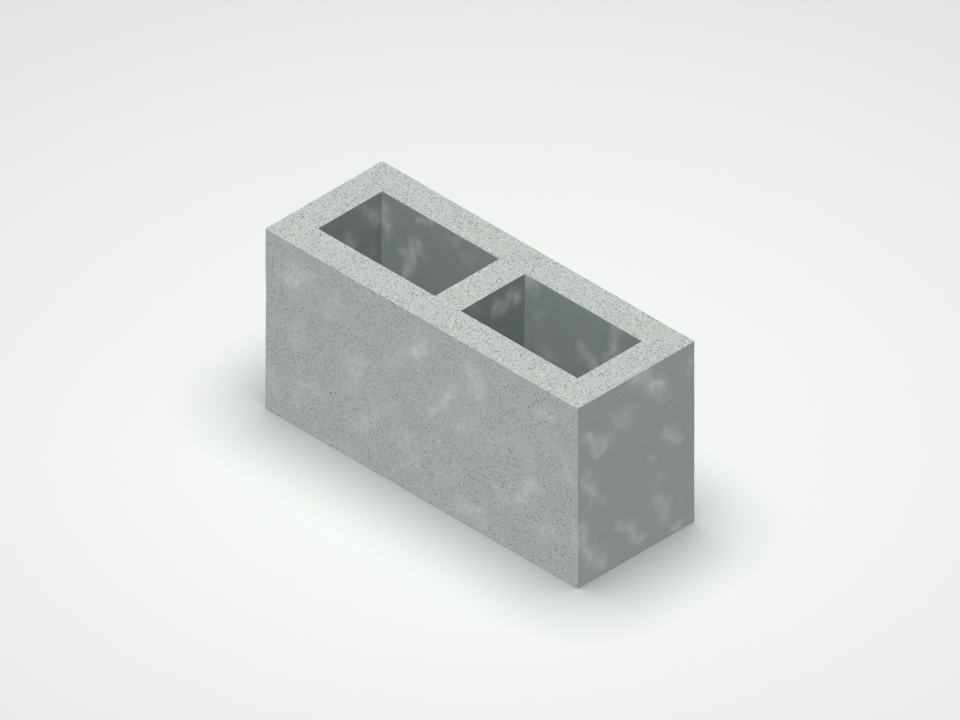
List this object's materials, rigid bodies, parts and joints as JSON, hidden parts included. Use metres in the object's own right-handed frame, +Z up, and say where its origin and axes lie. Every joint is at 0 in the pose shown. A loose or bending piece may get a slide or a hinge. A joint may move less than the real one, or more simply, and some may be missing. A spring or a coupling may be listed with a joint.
{
  "type": "concrete block",
  "caption": "Hollow concrete masonry block: a plain rectangular unit with open vertical cells between face shells and webs, laid in mortar to build walls.",
  "frame": {"origin": "middle of the bottom bed, on the floor that the block stands on", "axes": "+X along the block's length, +Y across its width, +Z up along the cells, from the thin ends of the walls to their thick ends"},
  "size_m": [0.4, 0.15, 0.2],
  "materials": {
    "concrete": "matte"
  },
  "bodies": {
    "root": {"concrete_block": "concrete"}
  },
  "joints": []
}
